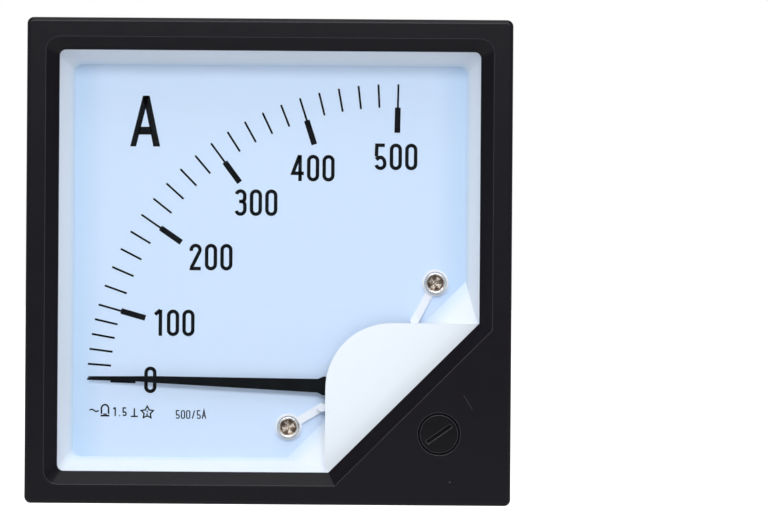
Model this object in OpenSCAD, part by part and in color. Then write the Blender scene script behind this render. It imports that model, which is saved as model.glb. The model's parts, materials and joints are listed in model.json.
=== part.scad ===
// Square-front analog panel meter with a corner pivot, a moving-iron movement and two rear studs.
// X runs to the right, Y runs into the panel and Z runs up. The origin is the centre of the
// panel cut-out, on the plane where the rear of the frame meets the panel.

/* [Front frame] */
// Width and height of the square front frame
face_w = 120; // [118:0.5:124]
// Depth of the frame in front of the panel
face_d = 14; // [13:0.5:17]
// Radius of the frame's four outer corners
face_corner_r = 1.6; // [1.2:0.1:3]
// Rounding of the frame's front edge
face_edge_r = 1; // [0.4:0.1:1.1]
// Thickness of the frame's side walls
frame_wall = 3; // [2.4:0.1:3.4]
// Width of the flat land round the front
land_w = 4.7; // [4.2:0.1:5.4]
// Width of the sloped band inside the land
bevel_w = 3.2; // [2.6:0.1:3.6]
// Depth of the sloped band
bevel_d = 3; // [2.4:0.1:3.4]
// Corner radius where the band meets the land
land_corner_r = 3.5; // [2.5:0.1:4.5]
// Corner radius of the window
window_corner_r = 1.6; // [1:0.1:2.4]
// Length that the cut corner takes off the window's sides
cut_leg = 37.1; // [34:0.1:40]
// Width of the sloped band along the cut corner
cut_bevel_w = 3.4; // [2.8:0.1:4]
// Thickness of the lip that holds the window
lip_t = 1; // [0.8:0.1:1.4]
// Length of each snap bead behind the case flange
bead_len = 30; // [20:1:40]
// Thickness of the snap beads
bead_t = 0.8; // [0.6:0.1:1]
// How far the snap beads reach inwards
bead_reach = 0.8; // [0.6:0.1:1]

/* [Window] */
// Thickness of the glass
glass_t = 2; // [1.6:0.1:2.4]
// Thickness of the seal in front of the glass
seal_t = 0.4; // [0.3:0.05:0.6]
// Width of the seal
seal_w = 2.6; // [2:0.1:3]
// How far the glass reaches past the window's cut corner
glass_lap = 2; // [1.5:0.1:2.5]

/* [Dial] */
// Depth of the dial's front behind the panel plane
dial_y = 1; // [0.6:0.1:1.6]
// Thickness of the dial sheet
dial_t = 0.8; // [0.5:0.1:1]
// Distance from the case's inner wall to the edge of the dial seen inside the sloped rim
dial_inset = 4.2; // [3.2:0.2:6]
// Corner radius of the dial seen inside the rim
dial_corner_r = 2; // [1:0.2:4]
// Distance from the pivot to each dial screw: low, high
dial_screw_dist = [27.3, 28.5];
// Direction of each dial screw from the pivot: low, high
dial_screw_angle = [200.9, 67.6];

/* [White mask] */
// Wall thickness of the sloped rim
rim_t = 1.2; // [1:0.1:1.5]
// Length that the ramp takes off the dial's sides
ramp_leg = 44.1; // [42:0.1:47]
// Radius of the pivot cover round the pivot
cover_r = 16.3; // [16:0.1:16.8]
// Thickness of the pivot cover
cover_t = 1; // [0.8:0.1:1.2]
// Step between the glass and the pivot cover
cover_drop = 0.6; // [0.4:0.1:0.8]
// Depth of the pivot cover's skirt from its front
cover_skirt = 4.4; // [3:0.1:4.5]

/* [Pivot and pointer] */
// Gap between the movement and the case's right wall
side_gap = 1.2; // [0.6:0.1:2]
// Gap between the movement and the case's bottom wall
bottom_gap = 0.2; // [0.2:0.1:1]
// Gap between the pointer's tip and the edge of the dial
tip_gap = 3.8; // [3:0.1:6]
// Thickness of the pointer
pointer_t = 0.4; // [0.3:0.05:0.6]
// Height of the pointer above the dial
pointer_rise = 2.5; // [2.2:0.1:2.6]
// Width of the pointer's root under the cover
root_w = 4.7; // [4.2:0.1:4.9]
// Width of the pointer just outside the cover
shaft_w = 3.4; // [3:0.1:3.6]
// Width of the pointer where its fine end begins
neck_w = 1.7; // [1.4:0.1:2]
// Length of the pointer's fine end
neck_len = 16.9; // [12:0.1:24]
// Length of the last needle-like stretch
needle_len = 5.7; // [4:0.1:8]
// Length of the step from the root's width to the shaft's
root_step = 1.4; // [1:0.1:2]
// Width of the pointer's end
tip_w = 0.4; // [0.3:0.05:0.6]
// Direction of the pointer at zero
zero_angle = 178.2; // [177:0.1:179]
// Radius of the spindle
spindle_r = 0.75; // [0.6:0.05:0.9]
// Distance from the pivot to the far end of the tail weight
tail_len = 15; // [13:0.1:15]
// Length of the tail weight
tail_weight_len = 4.5; // [3:0.1:6]
// Radius of the tail weight
tail_weight_r = 1.1; // [0.8:0.1:1.3]
// Distance from the pivot to the far end of the side weights
side_len = 8; // [6.5:0.1:8.5]
// Length of the side weights
side_weight_len = 3; // [2:0.1:4]
// Radius of the side weights
side_weight_r = 0.9; // [0.7:0.1:1]
// Width of the arms that carry the weights
arm_w = 1.2; // [1:0.1:1.6]

/* [Pointer stops] */
// Radius of the upright peg of each stop
peg_r = 1.05; // [0.9:0.05:1.1]
// Distance of each peg from the pivot
peg_dist = 17.8; // [17.6:0.1:18.4]
// Direction of each peg from the pivot: low, high
peg_angle = [195.6, 71.1];
// Outer radius of the eyelet under each dial screw
eyelet_r = 3.3; // [3:0.1:3.5]
// Thickness of the stop's arm
stop_t = 0.8; // [0.6:0.1:1]
// Width of the stop's arm
stop_arm_w = 2; // [1.6:0.1:2]
// Height of the pegs above the dial
peg_h = 3.4; // [3.2:0.1:3.5]

/* [Zero adjuster] */
// Distance of the adjuster from the frame's right and bottom sides
adjuster_inset = 17.7; // [17:0.1:19]
// Radius of the adjuster's plug
plug_r = 4.7; // [4.4:0.1:5]
// Radius of the chamfered mouth round the plug
mouth_r = 5.3; // [5.2:0.1:5.6]
// Length of the screwdriver slot
slot_len = 7.3; // [6:0.1:8]
// Width of the screwdriver slot
slot_w = 1; // [0.8:0.1:1.2]
// Depth of the screwdriver slot
slot_d = 1.4; // [1:0.1:1.8]
// Direction of the slot
slot_angle = 35; // [0:5:180]
// Distance of the drive pin from the adjuster's axis
pin_throw = 1.6; // [1.3:0.1:1.8]
// Radius of the drive pin
pin_r = 0.6; // [0.5:0.05:0.7]
// Radius of the adjuster's collar behind the frame
collar_r = 6; // [5.5:0.1:6.5]
// Thickness of that collar
collar_t = 1; // [0.8:0.1:1.2]
// Radius of the adjuster's neck
neck_r = 3; // [2.6:0.1:3.4]
// Thickness of the retaining plate
retainer_t = 0.8; // [0.6:0.1:1]
// Radius of the posts that hold the retaining plate
retainer_post_r = 1.2; // [1:0.1:1.4]
// Distance of those posts from the adjuster's axis
retainer_post_dist = 8.5; // [8:0.1:9]

/* [Case] */
// Step from the frame's sides in to the sides of the case body
body_step = 5; // [4.8:0.1:5.6]
// Depth of the case behind the panel
body_d = 48; // [47:0.5:54]
// Wall thickness of the case
case_wall = 2; // [1.6:0.1:2.2]
// Thickness of the case's rear wall
case_back = 3; // [2.4:0.1:3.4]
// Thickness of the case flange inside the frame
flange_t = 2.5; // [2:0.1:3]
// Width of the clamp plate that slides into each side pocket
clamp_w = 23.5; // [20:0.5:24]
// Thickness of that clamp plate
clamp_t = 1.6; // [1.2:0.1:1.8]
// Width of the mouth of each side pocket
pocket_mouth = 18; // [14:0.5:19]
// Depth of the floor of each side pocket below the side
pocket_d = 6; // [5.6:0.1:6.2]
// Distance from the panel plane to the stop of each pocket
pocket_start = 14; // [12:0.5:18]
// Wall round each pocket
pocket_wall = 2; // [1.6:0.1:2.4]
// Radius of the case body's long edges
body_corner_r = 3; // [2:0.5:4]
// Width of the rib that joins the terminal pads' middle line
pad_rib_w = 3; // [2:0.5:4]

/* [Terminals] */
// Distance between the two studs
stud_pitch = 50; // [44:1:54]
// Height of the studs above the centre
stud_z = 15; // [12:0.5:20]
// Diameter of the studs
stud_d = 6; // [5:0.5:6]
// How far the studs stand out behind the case
stud_out = 20; // [19:0.5:24]
// Height of the pad round each stud
pad_h = 3; // [2:0.5:4]
// Radius of the pad round each stud
pad_r = 8; // [7.5:0.5:9]
// Thickness of the flat washers
washer_t = 1.2; // [1:0.1:1.6]
// Thickness of the spring washers
spring_washer_t = 1.6; // [1.2:0.1:1.8]
// Thickness of the nuts
nut_t = 5; // [4.5:0.1:5.2]
// Width of the nuts across flats
nut_af = 10; // [9:0.5:10]
// Length of the thread relief behind the nut
relief_len = 1; // [0.8:0.1:1.2]
// Depth of the thread relief
relief_d = 0.5; // [0.3:0.05:0.6]
// Distance from the nut to the thread relief
relief_gap = 0.8; // [0.5:0.1:1.2]
// Chamfer at the end of the studs
stud_chamfer = 0.8; // [0.5:0.1:1]
// Chamfer of the nuts' corners
nut_chamfer = 0.6; // [0.4:0.1:0.8]
// Radius of the flat washers
washer_r = 6; // [5.6:0.1:6.6]
// Radius of the spring washers
spring_washer_r = 5.2; // [4.8:0.1:5.4]
// Width of the split in the spring washers
split_w = 0.8; // [0.5:0.1:1]
// Height of the hexagon heads of the studs
stud_head_t = 4; // [3:0.5:5]
// Thickness of the lugs under the stud heads
lug_t = 1; // [0.8:0.1:1.2]
// Radius of the lugs' round end
lug_r = 5.5; // [5:0.1:5.6]
// Width of the lugs' tab
lug_tab_w = 4; // [3:0.5:5]
// Length of the lugs' tab from the stud's axis
lug_tab_len = 12; // [10:0.5:14]

/* [Movement] */
// Gap between the dial sheet and the movement frame
frame_gap = 3.2; // [2.8:0.1:4]
// Thickness of the movement frame
frame_t = 1.5; // [1.2:0.1:2]
// Distance from the pivot to the frame's three screws
ear_dist = [22.4, 22.4, 23];
// Direction of the frame's three screws from the pivot
ear_angle = [36.5, 233.7, 135];
// Radius of the ears and of the case posts below them
ear_r = 3.5; // [3.2:0.1:3.6]
// Outer radius of the coil bobbin's flanges
bobbin_r = 17; // [16.4:0.1:17.2]
// Bore radius of the coil bobbin
bobbin_bore_r = 8; // [7.8:0.1:8.4]
// Wall of the bobbin's tube
bobbin_wall = 1; // [0.8:0.1:1.2]
// Thickness of the bobbin's flanges
bobbin_flange = 1.5; // [1.2:0.1:1.8]
// Length of the bobbin over both flanges
bobbin_len = 19.5; // [18:0.5:20]
// Step from the bobbin's flange edge down to the winding
winding_step = 1; // [0.6:0.1:1.6]
// Thickness of the two iron vanes
iron_t = 0.6; // [0.4:0.05:0.7]
// Angle that the fixed iron spans
fixed_iron_span = 100; // [80:5:120]
// Angle that the moving iron spans
moving_iron_span = 50; // [40:5:70]
// Radius of the damping vane
vane_r = 16.5; // [16:0.1:16.8]
// Thickness of the damping vane
vane_t = 0.4; // [0.3:0.05:0.5]
// Half of the angle that the damping vane spans
vane_half_span = 52; // [50:1:54]
// Thickness of each damping magnet
magnet_t = 2; // [1.6:0.1:2.4]
// Distance from the pivot to the frame's two rear posts
post_dist = 19.4; // [19.2:0.1:19.8]
// Radius of the frame's two rear posts
post_r = 2; // [1.8:0.1:2]
// Distance from the pivot to the two front pillars
pillar_dist = 12.5; // [12.3:0.1:13]
// Radius of the two front pillars
pillar_r = 1.75; // [1.5:0.05:1.8]
// Direction of the two front pillars from the pivot
pillar_angle = 43; // [40:1:46]
// Radius of the coil leads
lead_r = 0.9; // [0.7:0.05:1]
// Direction in which each lead leaves the coil
lead_angle = [160, 110];
// Depth of each lead's bend in front of the lugs
lead_bend = [6, 3];
// Radius of the plate that carries the damping vane and the pads of the moving iron
vane_hub_r = 3; // [2.4:0.1:3.6]
// Radius of the two lightening holes in the damping vane
vane_hole_r = 2.6; // [2:0.1:2.8]
// Distance of those holes from the spindle
vane_hole_dist = 8; // [7.5:0.1:9]
// Depth of the damping magnets along the vane's radius
magnet_len = 6.5; // [5:0.1:7]
// Width of the magnet bracket
bracket_w = 8; // [6:0.5:9]
// Thickness of the magnet bracket
bracket_t = 1; // [0.8:0.1:1.2]
// Length of the three frame screws
frame_screw_len = 10; // [8:0.5:12]
// Width of the two bridges
bridge_w = 6; // [5:0.5:7]
// Thickness of the two bridges
bridge_t = 1; // [0.8:0.1:1.2]
// Radius of the spigots on which the bridges sit
spigot_r = 1; // [0.8:0.1:1.2]
// Radius of the boss that carries the zero lever
boss_r = 3; // [2.6:0.1:3.4]
// Height of that boss
boss_h = 0.95; // [0.9:0.01:1]
// Thickness of the zero lever
lever_t = 0.8; // [0.6:0.1:0.9]
// Width of the zero lever
lever_w = 3; // [2.4:0.1:4]
// Number of turns of the hairspring
spring_turns = 3.5; // [3:0.5:4]
// Thickness of the hairspring's strip
spring_t = 0.15; // [0.1:0.01:0.2]
// Height of the hairspring's strip
spring_h = 0.5; // [0.4:0.05:0.6]
// Distance from the pivot to the post that holds the hairspring
spring_post_dist = 5.2; // [4.8:0.1:5.6]
// Radius of that post
spring_post_r = 0.4; // [0.3:0.05:0.5]
// Radius of the hub's collet
collet_r = 1.3; // [1.2:0.05:1.4]
// Radius of the hub's broad seat
hub_r = 2; // [1.8:0.1:2.2]
// Length of the cones at the spindle's ends
tip_cone = 0.8; // [0.6:0.1:1]
// Radius of the two bearing screws
jewel_r = 1.5; // [1.4:0.1:1.7]

/* [Screws] */
// Radius of the screws' shanks
screw_r = 1.5; // [1.4:0.05:1.6]
// Radius of the pan heads
screw_head_r = 2.75; // [2.6:0.05:2.9]
// Height of the pan heads
screw_head_h = 2; // [1.6:0.1:2.2]
// Height of the heads' sloped edge
screw_dome = 0.7; // [0.5:0.1:0.9]
// Length of each arm of the cross recess
recess_reach = 1.6; // [1.4:0.1:1.9]
// Width of the cross recess
recess_w = 0.7; // [0.5:0.1:0.9]
// Depth of the cross recess
recess_d = 1.1; // [0.8:0.1:1.3]
// Direction of the cross recess
recess_turn = 20; // [0:5:45]

/* [Hidden] */
$fn = 64;
hull_fn = 32;
over = 0.1;             // how far a cutting solid runs past what it cuts
thin = 0.01;            // thickness of the slices that a hull joins
sharp_r = 0.15;         // radius left on the window's two sharp corners
fit = 0.2;              // gap round a piece that drops into another
run_fit = 0.05;         // radial gap of a turning fit
screw_fit = 0.05;       // radial gap round a screw's shank
press_gap = 0.02;       // radial gap round the spindle where a piece is pressed on it
root2 = sqrt(2);

// depths along Y, from the front to the back
front_y = -face_d;
lip_y = front_y + bevel_d;
frame_inner_y = lip_y + lip_t;
glass_y = frame_inner_y + seal_t;
mask_y = glass_y + glass_t;
flange_rear_y = -bead_t;
flange_y = flange_rear_y - flange_t;
dial_rear_y = dial_y + dial_t;
cover_y = mask_y + cover_drop;
cover_rear_y = cover_y + cover_t;
pointer_y = dial_y - pointer_rise;
frame_y = dial_rear_y + frame_gap;
frame_rear_y = frame_y + frame_t;
back_y = body_d - case_back;

// half widths
face_half = face_w / 2;
land_half = face_half - land_w;
window_half = land_half - bevel_w;
cavity_half = face_half - frame_wall;
insert_half = cavity_half - fit;
body_half = face_half - body_step;
case_half = body_half - case_wall;
dial_half = case_half - dial_inset;
rim_front_half = window_half + 0.3;
rim_outer_half = rim_front_half + rim_t;
window_cut = 2 * window_half - cut_leg;
land_cut = window_cut + cut_bevel_w * root2;
glass_cut = window_cut + glass_lap * root2;
ramp_cut = 2 * dial_half - ramp_leg;
insert_r = 1.5;
skirt_t = 1.8;
seal_gap = 0.5;
dial_hole_r = 4;
dial_play = 0.5;
dial_lap = 2;
pillar_gap = 0.5;

// pivot and the parts stacked on it
movement_r = post_dist + post_r;
pivot = [case_half - side_gap - movement_r, bottom_gap + movement_r - case_half];
adjuster = [face_half - adjuster_inset, adjuster_inset - face_half];
lever_vec = adjuster - pivot;
lever_angle = atan2(lever_vec[1], lever_vec[0]);
lever_len = norm(lever_vec) - pin_throw;
pointer_len = pivot[0] + dial_half - tip_gap;
root_end = cover_r + 0.6;
pointer_ring_r = root_w / 2 + 0.6;
arm_ring_r = hub_r + 0.5;
bridge_y = cover_rear_y + 0.4;
bridge_rear_y = bridge_y + bridge_t;
lever_y = bridge_rear_y + 0.1;
lever_rear_y = lever_y + lever_t;
lever_ring_r = boss_r + 1.5;
fork_gap = 0.25;
fork_half = pin_r + fork_gap;
fork_w = 2 * fork_half + 2.4;
fork_back = 2;
fork_reach = 4.5;
slot_back = 1.5;
spring_y = lever_rear_y + 0.3;
spring_steps = 84;
spring_gap = 0.1;
jewel_gap = 0.1;
jewel_out = 1;
hub_rear_y = pointer_y + 1.5;
collet_y = spring_y - 0.1;
jewel_rear_y = collet_y - 0.25;
cup_depth = 0.75;
spindle_front_y = jewel_rear_y - cup_depth;
cup_r = spindle_r + 0.3;
cup_gap = 0.1;
cone_r = 0.05;

// zero adjuster behind the frame
collar_y = frame_inner_y + 0.1;
retainer_y = collar_y + collar_t + 0.2;
retainer_rear_y = retainer_y + retainer_t;
stake_h = 0.6;
neck_h = 0.4;
retainer_web = 1.2;
retainer_ring = 2;

// coil and rear bearing
bobbin_rear_y = frame_rear_y + bobbin_len;
winding_r = bobbin_r - winding_step;
tube_r = bobbin_bore_r + bobbin_wall;
iron_margin = 2.5;
iron_play = 0.5;
arm_t = 0.8;
iron_arm_w = 3;
iron_pad_r = 2;
moving_iron_r = bobbin_bore_r - 2 * iron_t;
fixed_iron_angle = zero_angle + 135;
bracket_y = bobbin_rear_y + 0.4;
magnet_y = bracket_y + bracket_t;
air_gap = 0.6;
vane_y = magnet_y + magnet_t + air_gap;
rear_magnet_y = vane_y + vane_t + air_gap;
bracket_rear_y = rear_magnet_y + magnet_t;
rear_bridge_y = bracket_rear_y + bracket_t + 0.6;
rear_bridge_rear_y = rear_bridge_y + bridge_t;
spindle_rear_y = rear_bridge_y;
magnet_angle = -45;
magnet_step = 1;
magnet_r0 = vane_r - magnet_len;
bracket_r0 = vane_r + 1.1;
boss_wall = 1.5;
frame_hole_gap = 1;
screw_tip_gap = 2;

// terminals
pocket_half = clamp_w / 2 + 0.5;
clamp_gap = 0.6;
stud_r = stud_d / 2;
stud_xs = [-stud_pitch / 2, stud_pitch / 2];
nut_corner_r = nut_af / sqrt(3);
pad_y = body_d + pad_h;
washer_y = pad_y;
spring_washer_y = washer_y + washer_t;
nut_y = spring_washer_y + spring_washer_t;
nut_rear_y = nut_y + nut_t;
relief_y = nut_rear_y + relief_gap;
stud_end_y = body_d + stud_out;
lug_y = back_y - lug_t;
stud_fit = 0.1;
lead_fn = 14;
lead_end_z = stud_z - lug_tab_len + 1.5;
lead_run = 6;

function polar(r, a) = [r * cos(a), r * sin(a)];
function around_pivot(r, a) = pivot + polar(r, a);

// Round bar along Y from depth y0 to y1, at [x, z].
module rod(r, y0, y1, at = [0, 0]) {
    translate([at[0], y1, at[1]]) rotate([90, 0, 0]) cylinder(r = r, h = y1 - y0);
}

// Cone along Y: radius r0 at depth y0 and r1 at depth y1.
module cone(r0, r1, y0, y1, at = [0, 0]) {
    translate([at[0], y1, at[1]]) rotate([90, 0, 0]) cylinder(r1 = r1, r2 = r0, h = y1 - y0);
}

// Flat outline drawn in X and Z, carried from depth y0 to y1.
module slab(y0, y1) {
    translate([0, y1, 0]) rotate([90, 0, 0]) linear_extrude(y1 - y0) children();
}

// Block between two opposite corners.
module block(x, y, z) {
    translate([x[0], y[0], z[0]]) cube([x[1] - x[0], y[1] - y[0], z[1] - z[0]]);
}

// Square outline of half width half with corner radius r.
module round_square(half, r) {
    square([2 * half, 2 * (half - r)], center = true);
    square([2 * (half - r), 2 * half], center = true);
    for (sx = [-1, 1], sz = [-1, 1])
        translate([sx * (half - r), sz * (half - r)]) circle(r);
}

// Half plane beyond the line where x minus z is cut.
module beyond_cut(cut) {
    far = 2 * face_w;
    translate([cut / 2, -cut / 2]) rotate(-45) translate([0, -far / 2]) square([far, far]);
}

// Square outline with its lower right corner cut at 45 degrees.
module cut_square(half, r, cut) {
    difference() {
        round_square(half, r);
        beyond_cut(cut);
    }
}

// Five thin discs that mark a square with a cut corner, as one slice of a loft.
module cut_slice(half, r, cut, y) {
    s = sharp_r;
    run = half - s;
    for (p = [[-1, 1], [1, 1], [-1, -1]])
        rod(r, y, y + thin, (half - r) * p, $fn = hull_fn);
    rod(s, y, y + thin, [run, run - cut + s * root2], $fn = hull_fn);
    rod(s, y, y + thin, [cut - s * root2 - run, -run], $fn = hull_fn);
}

// Outline of a wedge of radius r about the X axis, reaching half_span to each side.
module wedge(r, half_span) {
    intersection() {
        circle(r);
        polygon([[0, 0], polar(2 * r, -half_span), [2 * r, 0], polar(2 * r, half_span)]);
    }
}

// Thin sheet bent round the pivot: radii r0 to r1, centred on angle a.
module arc_sheet(r0, r1, y0, y1, a, span) {
    slab(y0, y1) translate(pivot) rotate(a) difference() {
        wedge(r1, span / 2);
        circle(r0);
    }
}

// Straight strip from the pivot outwards at angle a, between radii r0 and r1.
module strip(r0, r1, w, y0, y1, a) {
    slab(y0, y1) translate(pivot) rotate(a) translate([r0, -w / 2]) square([r1 - r0, w]);
}

// Round bar lying in the dial's plane along a direction from the pivot.
module radial_rod(r, r0, r1, y, a) {
    at = around_pivot(r0, a);
    translate([at[0], y, at[1]]) rotate([0, -a, 0]) rotate([0, 90, 0]) cylinder(r = r, h = r1 - r0);
}

// Moulded black front frame: rounded outer edge, sloped band, cut corner and side walls.
module bezel() {
    bead_y = -bead_t;
    post = [for (sx = [-1, 1], sz = [-1, 1]) [sx, sz] * (face_half - face_corner_r)];
    color([0.12, 0.12, 0.13]) {
        difference() {
            hull() for (p = post) translate([p[0], 0, p[1]]) rotate([90, 0, 0]) edge_post();
            hull() {
                cut_slice(land_half, land_corner_r, land_cut, front_y - thin);
                cut_slice(window_half, window_corner_r, window_cut, lip_y - thin);
            }
            slab(lip_y - over, frame_inner_y + over)
                cut_square(window_half, window_corner_r, window_cut);
            slab(frame_inner_y, over) round_square(cavity_half, insert_r);
            rod(plug_r + run_fit, front_y - over, frame_inner_y + over, adjuster);
            cone(mouth_r, plug_r + run_fit, front_y - thin,
                front_y + mouth_r - plug_r, adjuster);
        }
        for (a = [0, 90, 180, 270]) rotate([0, a, 0])
            block([cavity_half - bead_reach, cavity_half + over], [bead_y, 0],
                [-bead_len / 2, bead_len / 2]);
        for (p = retainer_posts())
            rod(retainer_post_r, frame_inner_y, retainer_rear_y + stake_h, p);
    }
}

// Corner of the frame: a post whose front edge is rounded.
module edge_post() {
    steps = 6;
    rotate_extrude($fn = hull_fn) polygon(concat([[0, 0], [face_corner_r, 0]],
        [for (i = [0:steps]) [face_corner_r - face_edge_r * (1 - cos(90 * i / steps)),
            face_d - face_edge_r * (1 - sin(90 * i / steps))]], [[0, face_d]]));
}

function retainer_posts() = [for (s = [-1, 1]) adjuster + polar(s * retainer_post_dist, 45)];

// Retaining plate behind the zero adjuster, staked on two posts of the frame.
module adjuster_retainer() {
    color("silver") slab(retainer_y, retainer_rear_y) difference() {
        union() {
            translate(adjuster) circle(neck_r + retainer_ring);
            for (p = retainer_posts()) translate(p) circle(retainer_post_r + retainer_web);
            translate(adjuster) rotate(45)
                square([2 * retainer_post_dist, 2 * retainer_post_r + retainer_web], center = true);
        }
        translate(adjuster) circle(neck_r + fit);
        for (p = retainer_posts()) translate(p) circle(retainer_post_r + run_fit);
    }
}

// Black plug with a screwdriver slot, a collar behind the frame and an off-centre drive pin.
module zero_adjuster() {
    pin = adjuster - polar(pin_throw, lever_angle);
    color([0.13, 0.13, 0.14]) {
        difference() {
            union() {
                rod(plug_r, front_y, collar_y, adjuster);
                rod(collar_r, collar_y, collar_y + collar_t, adjuster);
                rod(neck_r, collar_y + collar_t, retainer_rear_y + neck_h, adjuster);
            }
            translate([adjuster[0], front_y, adjuster[1]]) rotate([0, -slot_angle, 0])
                translate([-slot_len / 2, -over, -slot_w / 2])
                cube([slot_len, slot_d + over, slot_w]);
        }
        rod(pin_r, retainer_rear_y + neck_h, lever_rear_y + fit, pin);
    }
}

// Thin foam seal between the frame's lip and the glass.
module window_seal() {
    color([0.1, 0.1, 0.1]) slab(frame_inner_y, glass_y) difference() {
        cut_square(window_half + seal_gap + seal_w, window_corner_r + seal_w, glass_cut);
        cut_square(window_half + seal_gap, window_corner_r, window_cut + seal_gap);
    }
}

// Clear window with its lower right corner cut.
module window_glass() {
    color([0.85, 0.93, 0.97, 0.3]) slab(glass_y, mask_y)
        cut_square(insert_half, insert_r, glass_cut);
}

// Outline of the raised cover over the pivot.
module cover_outline(inset) {
    r = cover_r - inset;
    reach = rim_outer_half;
    translate(pivot) circle(r);
    translate([pivot[0] - r, -reach]) square([reach - pivot[0] + r, pivot[1] + reach]);
    translate([pivot[0], -reach]) square([reach - pivot[0], pivot[1] + r + reach]);
}

// Outside of the sloped rim and its ramp, grown by a clearance.
module rim_outside(grow) {
    outer = rim_outer_half + grow;
    inner = dial_half + rim_t + grow;
    hull() {
        cut_slice(outer, window_corner_r + rim_t, 2 * outer, mask_y);
        cut_slice(inner, dial_corner_r + rim_t, ramp_cut + 2 * (rim_t + grow), dial_y - thin);
    }
}

// White moulding: sloped rim round the dial, a ramp across the cut corner and the pivot cover.
module dial_mask() {
    color([0.93, 0.95, 0.98]) difference() {
        union() {
            difference() {
                union() {
                    rim_outside(0);
                    slab(mask_y, mask_y + rim_t) round_square(insert_half, insert_r);
                    slab(mask_y, flange_y) difference() {
                        round_square(insert_half, insert_r);
                        round_square(insert_half - skirt_t, insert_r);
                    }
                }
                hull() {
                    cut_slice(rim_front_half, window_corner_r, glass_cut, mask_y - over);
                    cut_slice(dial_half, dial_corner_r, ramp_cut, dial_y);
                }
            }
            slab(cover_y, cover_y + cover_skirt) intersection() {
                cover_outline(0);
                round_square(rim_front_half + rim_t / 2, window_corner_r);
            }
        }
        slab(cover_rear_y, dial_y + over) cover_outline(rim_t);
        slab(mask_y - over, dial_y + over) beyond_cut(glass_cut);
    }
}

// Painted sheet that carries the scale, cut away at the corner below the cover.
module dial_plate() {
    color([0.84, 0.9, 0.98]) slab(dial_y, dial_rear_y) difference() {
        cut_square(case_half - dial_play, insert_r, window_cut + dial_lap);
        translate(pivot) circle(dial_hole_r);
        for (i = [0, 1]) translate(dial_screw(i)) circle(screw_r + screw_fit);
        for (p = pillars()) translate(p) circle(pillar_r + pillar_gap);
    }
}

function dial_screw(i) = around_pivot(dial_screw_dist[i], dial_screw_angle[i]);
function pillars() = [for (s = [0, 180]) around_pivot(pillar_dist, pillar_angle + s)];
function posts() = [for (s = [0, 180]) around_pivot(post_dist, s)];
function ear(i) = around_pivot(ear_dist[i], ear_angle[i]);

// Pan head screw with a shank, head towards the front.
module pan_screw(at, seat_y, len) {
    top_y = seat_y - screw_head_h;
    rod(screw_r, seat_y, seat_y + len, at);
    rod(screw_head_r, top_y + screw_dome, seat_y, at);
    cone(screw_head_r - screw_dome, screw_head_r, top_y, top_y + screw_dome, at);
}

// Two screws that hold the dial and the pointer stops.
module dial_screws() {
    seat_y = dial_y - stop_t;
    top_y = seat_y - screw_head_h;
    color("silver") for (i = [0, 1]) difference() {
        pan_screw(dial_screw(i), seat_y, frame_rear_y - seat_y);
        for (a = [0, 90]) translate([dial_screw(i)[0], 0, dial_screw(i)[1]])
            rotate([0, a + recess_turn, 0])
            block([-recess_reach, recess_reach], [top_y - over, top_y + recess_d],
                [-recess_w / 2, recess_w / 2]);
    }
}

// One pointer stop: an eyelet under the dial screw, a flat arm and an upright peg.
module pointer_stop(i) {
    peg = around_pivot(peg_dist, peg_angle[i]);
    arm = peg - dial_screw(i);
    difference() {
        union() {
            rod(eyelet_r, dial_y - stop_t, dial_y, dial_screw(i));
            slab(dial_y - stop_t, dial_y) translate(dial_screw(i)) rotate(atan2(arm[1], arm[0]))
                translate([0, -stop_arm_w / 2]) square([norm(arm), stop_arm_w]);
            rod(peg_r, dial_y - peg_h, dial_y, peg);
        }
        rod(screw_r + screw_fit, dial_y - stop_t - over, dial_y + over, dial_screw(i));
    }
}

module zero_stop() { color("white") pointer_stop(0); }

module full_scale_stop() { color("white") pointer_stop(1); }

// Flat black pointer: broad root, straight taper and a fine tip.
module pointer() {
    side = [[0, root_w], [root_end, root_w], [root_end + root_step, shaft_w],
        [pointer_len - neck_len, neck_w], [pointer_len - needle_len, 2 * tip_w],
        [pointer_len, tip_w]];
    color([0.08, 0.08, 0.09]) difference() {
        union() {
            rod(pointer_ring_r, pointer_y, pointer_y + pointer_t, pivot);
            slab(pointer_y, pointer_y + pointer_t) translate(pivot) rotate(zero_angle)
                polygon(concat([for (p = side) [p[0], p[1] / 2]],
                    [for (i = [len(side) - 1:-1:0]) [side[i][0], -side[i][1] / 2]]));
        }
        rod(collet_r + run_fit, pointer_y - over, pointer_y + pointer_t + over, pivot);
    }
}

// Brass hub: a small collet for the hairspring and a broad seat for pointer and arms.
module pointer_hub() {
    color("goldenrod") difference() {
        union() {
            rod(collet_r, collet_y, pointer_y + 3 * pointer_t, pivot);
            rod(hub_r, pointer_y + 2 * pointer_t, hub_rear_y, pivot);
        }
        rod(spindle_r + press_gap, collet_y - over, hub_rear_y + over, pivot);
    }
}

// Steel spindle with a cone at each end.
module spindle() {
    color("lightgray") {
        rod(spindle_r, spindle_front_y + tip_cone, spindle_rear_y - tip_cone, pivot);
        cone(cone_r, spindle_r, spindle_front_y, spindle_front_y + tip_cone, pivot);
        cone(spindle_r, cone_r, spindle_rear_y - tip_cone, spindle_rear_y, pivot);
    }
}

// Stamped cross behind the pointer that carries the balance weights.
module balance_arms() {
    y = pointer_y + pointer_t;
    color("silver") difference() {
        union() {
            rod(arm_ring_r, y, y + pointer_t, pivot);
            strip(0, tail_len - tail_weight_len, arm_w, y, y + pointer_t, zero_angle + 180);
            for (s = [-90, 90])
                strip(0, side_len - side_weight_len, arm_w, y, y + pointer_t, zero_angle + s);
        }
        rod(collet_r + run_fit, y - over, y + pointer_t + over, pivot);
    }
}

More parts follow.
